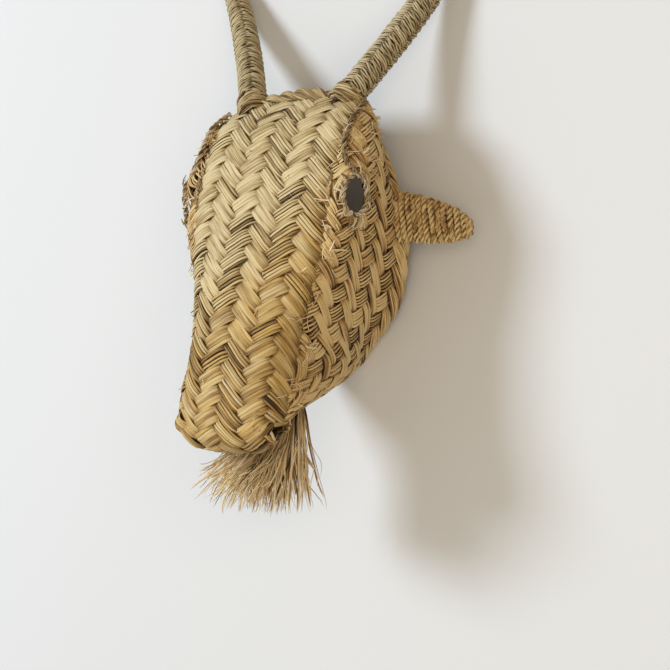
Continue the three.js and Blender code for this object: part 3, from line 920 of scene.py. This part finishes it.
class GOAT_OT_beard(bpy.types.Operator):
    """Hang the loose fibres of the beard and tie them at the chin"""
    bl_idname = "goat.beard"
    bl_label = "Beard"

    def execute(self, context):
        s = context.scene.goat_beard
        rng = np.random.default_rng(s.seed)
        count, steps = s.fibres, 18
        u = np.linspace(0, 1, steps)[None, :]
        angle, spread = rng.uniform(0, TAU, (count, 1)), np.sqrt(rng.random((count, 1)))
        tuft = rng.integers(0, BEARD_TUFTS, count)[:, None]
        tuft_x = rng.normal(0, 1, BEARD_TUFTS)[tuft] * 9
        tuft_d = rng.normal(0, 1, BEARD_TUFTS)[tuft] * 6
        end_x = np.clip(27 * spread * np.cos(angle) + tuft_x, -40, 40)
        end_d = 93 + 34 * spread * np.sin(angle) + tuft_d
        end_z = -267 + 26 * rng.random((count, 1)) ** 1.8 + 0.010 * (end_d - 88) ** 2
        bend_d = np.minimum(end_d + 4, 104)
        root_x = BEARD_ROOT_RADIUS * spread * np.cos(angle)
        root_d = BEARD_ROOT_DEPTH + BEARD_ROOT_RADIUS * spread * np.sin(angle)
        root = np.concatenate([root_x, root_d, np.full_like(spread, BEARD_ROOT_Z)], axis=1)[:, None]
        middle_z = -222 - 0.12 * (end_d - 60)
        middle = np.concatenate([end_x * 0.75, bend_d * 0.55 + 30, middle_z], axis=1)[:, None]
        tip = np.concatenate([end_x, end_d, end_z], axis=1)[:, None]
        v = u[..., None]
        lines = root * (1 - v) ** 2 + 2 * middle * v * (1 - v) + tip * v**2
        wave = rng.uniform(0.8, 4.2, (count, 1)) * u
        lines[..., 0] += smooth_wander(rng, count, steps, 1.0, 0.8) * wave
        lines[..., 1] += smooth_wander(rng, count, steps, 1.0, 0.8) * wave
        lines[..., 2] += smooth_wander(rng, count, steps, 0.5, 0.8) * wave
        lines[..., 2] = np.maximum(lines[..., 2], BEARD_LOWEST)
        under_chin = np.interp(lines[..., 1], CHIN_DEPTH, CHIN_Z)
        lines[..., 2] = np.where(u > 0, np.minimum(lines[..., 2], under_chin), lines[..., 2])
        lines = lines * (1, -1, 1)
        normals = np.stack([np.cos(angle) + 0 * u, np.sin(angle) + 0 * u, 0.2 + 0 * u + 0 * angle], axis=2)
        coarse = rng.random((count, 1)) < 0.22
        width = np.where(coarse, rng.uniform(0.8, 1.3, (count, 1)), rng.uniform(0.28, 0.62, (count, 1)))
        width = width * (1 - 0.5 * u**3)
        tint = np.clip(rng.normal(1.0, 0.5, (count, 1)) + 0.4 * (u - 0.4), 0.0, 1.7)
        obj = lay_blades("beard_fibres", lines, normals, width, width * 0.55, tint,
                         finish_of("Frayed grass fibre"), "beard", sides=4, crease_shade=0.2)
        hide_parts("beard")
        a = np.linspace(0, TAU * 3.2, 130)
        ring = np.stack([9.6 * np.cos(a), -59.5 + 10.2 * np.sin(a), -195.4 - a / TAU * 1.1], axis=1)
        out = np.stack([np.cos(a), np.sin(a), 0 * a], axis=1)
        tie = lay_blades("beard_tie", ring[None], out[None], 0.85, 0.7, np.array([[0.6]]),
                         finish_of("Bleached twisted grass"), "beard")
        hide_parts("beard_binding")
        return {"FINISHED"}


class GOAT_OT_frays(bpy.types.Operator):
    """Let loose ends stand up along the seams, round the eyes and ears, and at the horn roots"""
    bl_idname = "goat.frays"
    bl_label = "Loose ends"

    def execute(self, context):
        s = context.scene.goat_frays
        rng = np.random.default_rng(s.seed)
        count, steps = s.ends, 9
        kind = rng.random(count)
        on_cheek, on_face = kind < 0.55, kind > 0.9
        t = np.where(on_cheek, rng.uniform(0.05, 0.43, count), rng.uniform(0.05, 0.97, count))
        arc = np.where(on_cheek, rng.uniform(55, 100, count),
                       np.where(kind < 0.9, rng.normal(58, 3, count), rng.uniform(2, 56, count)))
        side = np.where(rng.random(count) < 0.5, 1, -1)
        arc = side * np.minimum(arc, girth_at(t) - 4)
        heading = rng.uniform(0, TAU, count)
        length = rng.uniform(5, 15, count) * np.where(on_face, 0.5, 1.0)
        u = np.linspace(0, 1, steps)[None, :]
        curl = rng.normal(0, 0.35, count)[:, None]
        way = heading[:, None] + curl * u * 2
        step_s, step_t = np.cos(way) * length[:, None] / steps, np.sin(way) * length[:, None] / steps
        arcs = arc[:, None] + np.cumsum(step_s, axis=1)
        levels = np.clip(t[:, None] + np.cumsum(step_t, axis=1) / 300, SHELL_TOP, 0.99)
        arcs = np.clip(arcs, -girth_at(levels), girth_at(levels))
        rise = -1.6 + rng.uniform(0.8, 4.2, count)[:, None] * u ** rng.uniform(0.6, 2.5, count)[:, None]
        lines, normals = on_head(levels, arcs, rise)
        tint = rng.uniform(0.45, 1.25, count)[:, None]
        width = rng.uniform(0.28, 0.6, count)[:, None] * (1 - 0.4 * u)
        clear = self.clear_of_eyes(lines)
        lay_blades("loose_ends", lines[clear], normals[clear], width[clear], 0.25, tint[clear],
                   finish_of("Frayed grass fibre"), "head", sides=4, crease_shade=0.4)
        return {"FINISHED"}

    def clear_of_eyes(self, lines):
        """True for every loose end that stays out of both eyes."""
        clear = np.ones(len(lines), bool)
        for side in (1, -1):
            centre, _, up, across = eye_frame(side)
            d = lines - centre
            inside = np.hypot(d @ across / EYE_HALF[0], d @ up / EYE_HALF[1]) < 1.3
            clear &= ~(inside & (np.linalg.norm(d, axis=2) < 20)).any(axis=1)
        return clear


class GOAT_OT_back(bpy.types.Operator):
    """Oversew the hoop round the open back and hang the loop from it"""
    bl_idname = "goat.back"
    bl_label = "Hoop and hanging loop"

    def execute(self, context):
        rng = np.random.default_rng(71)
        t = np.linspace(0.765, 0.03, 400)
        left, _ = on_head(t, girth_at(t) + 2.2, -3.2)
        left[:, 1] = np.minimum(left[:, 1], -4.6)
        top = np.linspace(left[-1], left[-1] * (-1, 1, 1), 60)[1:-1]
        top[:, 2] += 1.5 * np.sin(np.linspace(0, math.pi, len(top)))
        hoop = resample(np.concatenate([left, top, left[::-1] * (-1, 1, 1), left[:1]]), 700)
        inward = np.array([0, -0.07, -0.085]) / MM - hoop
        rod = lay_blades("rear_hoop_cane", hoop[None], inward[None], 2.6, 2.4, np.array([[0.5]]),
                         split_cane("Split cane", "#4a3216", "#8a6836"), "head", sides=10, crease_shade=0)
        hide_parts("rear_hoop")
        hoop = resample(hoop, 1700)
        line, out = coil(hoop, (1, 0.01, 0), 3.1, 62, rng, 0.12)
        line[:, 1] = np.minimum(line[:, 1], -1.2)
        lay_blades("rim_oversewing", line[None], out[None], 1.7, 0.4, np.array([[0.5]]),
                   finish_of("Golden plaited grass"), "head")
        k = np.linspace(-1, 1, 120)
        g = np.sqrt(k**2 + LOOP_BEND**2) - LOOP_BEND
        path = np.stack([LOOP_HALF_SPAN * k, -(LOOP_TOP_DEPTH + LOOP_OUT * g), LOOP_TOP_Z - LOOP_DROP * g],
                        axis=1)
        lines, normals = rope(path, (0, 0, 1), 2, 4, 0.85, 0.6, 7, rng)
        tint = rng.uniform(0.2, 0.8, len(lines))[:, None]
        loop = lay_blades("hanging_twist", lines, normals, 0.55, 0.4, tint,
                          finish_of("Frayed grass fibre"), "hanger", sides=5)
        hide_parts("hanging_loop")
        return {"FINISHED"}


class GOAT_OT_stage(bpy.types.Operator):
    """Floor, backdrop wall, soft light and the camera"""
    bl_idname = "goat.stage"
    bl_label = "Stage"

    def execute(self, context):
        scene = context.scene
        self.plane("floor", 6.0, Matrix.Translation((0, -2.0, -1.1)), plaster("Pale floor", "#e4e2dc"))
        if scene.goat_colours.backdrop:
            turn = Matrix.Translation((0, 0.0006, 0.2)) @ Matrix.Rotation(math.radians(90), 4, "X")
            wall = self.plane("backdrop_wall", 1.6, turn, plaster("White wall", "#dde0e4", True))
            wall.visible_diffuse = wall.visible_glossy = wall.visible_shadow = False
        world = bpy.data.worlds.new("Soft studio")
        scene.world = world
        world.use_nodes = True
        background = world.node_tree.nodes["Background"]
        background.inputs["Color"].default_value = (1.0, 0.87, 0.71, 1.0)
        background.inputs["Strength"].default_value = 0.37
        self.area("Window", (-1.85, -2.15, 0.80), 0.95, 68.0, "#ecf6ff")
        self.area("Fill", (1.0, -1.3, -0.1), 1.2, 8.5, "#ffe9c8")
        self.camera(scene)
        scene.view_settings.view_transform = "Standard"
        return {"FINISHED"}

    def plane(self, name, size, matrix, material):
        bm = bmesh.new()
        bmesh.ops.create_grid(bm, x_segments=1, y_segments=1, size=size, matrix=matrix)
        mesh = bpy.data.meshes.new(name)
        bm.to_mesh(mesh)
        bm.free()
        mesh.materials.append(material)
        obj = bpy.data.objects.new(name, mesh)
        bpy.context.scene.collection.objects.link(obj)
        return obj

    def area(self, name, place, size, power, colour):
        """A round soft light, its power in watts, turned to the head."""
        light = bpy.data.lights.new(name, "AREA")
        light.shape, light.size, light.energy = "DISK", size, power
        light.color = linear(colour)[:3]
        obj = bpy.data.objects.new(name, light)
        obj.location = place
        middle = Vector((0, -0.06, -0.1))
        obj.rotation_euler = (middle - Vector(place)).to_track_quat("-Z", "Y").to_euler()
        bpy.context.scene.collection.objects.link(obj)

    def camera(self, scene):
        turn = math.radians(CAMERA_TURN)
        right = Vector((math.cos(turn), math.sin(turn), 0))
        back = Vector((math.sin(turn), -math.cos(turn), 0))
        data = bpy.data.cameras.new("Camera")
        data.lens = CAMERA_LENS
        data.sensor_width = 36
        data.clip_end = 50
        camera = bpy.data.objects.new("Camera", data)
        camera.location = right * CAMERA_SHIFT + Vector((0, 0, CAMERA_Z)) + back * CAMERA_DISTANCE
        camera.rotation_euler = (-back).to_track_quat("-Z", "Y").to_euler()
        scene.collection.objects.link(camera)
        scene.camera = camera


PIECES = (GOAT_OT_face, GOAT_OT_cheeks, GOAT_OT_crown, GOAT_OT_horns, GOAT_OT_eyes, GOAT_OT_ears,
          GOAT_OT_beard, GOAT_OT_frays, GOAT_OT_back, GOAT_OT_stage)


class GOAT_PT_panel(bpy.types.Panel):
    """Sizes and pieces of the plaited goat head"""
    bl_idname = "GOAT_PT_panel"
    bl_label = "Plaited Goat Head"
    bl_space_type = "VIEW_3D"
    bl_region_type = "UI"
    bl_category = "Goat Head"

    def draw(self, context):
        for group in GROUPS:
            settings = getattr(context.scene, group)
            for key in settings.__annotations__:
                self.layout.prop(settings, key)
        for piece in PIECES:
            self.layout.operator(piece.bl_idname)


GROUPS = {"goat_plait": GoatPlaitSettings, "goat_horns": GoatHornSettings, "goat_ears": GoatEarSettings,
          "goat_beard": GoatBeardSettings, "goat_frays": GoatFraySettings, "goat_colours": GoatColourSettings}
CLASSES = (*GROUPS.values(), *PIECES, GOAT_PT_panel)


def register():
    for cls in CLASSES:
        bpy.utils.register_class(cls)
    for key, cls in GROUPS.items():
        setattr(bpy.types.Scene, key, PointerProperty(type=cls))


def unregister():
    for key in GROUPS:
        delattr(bpy.types.Scene, key)
    for cls in reversed(CLASSES):
        bpy.utils.unregister_class(cls)


def main():
    register()
    for piece in PIECES:
        getattr(bpy.ops.goat, piece.bl_idname.split(".")[1])()


if __name__ == "__main__":
    main()
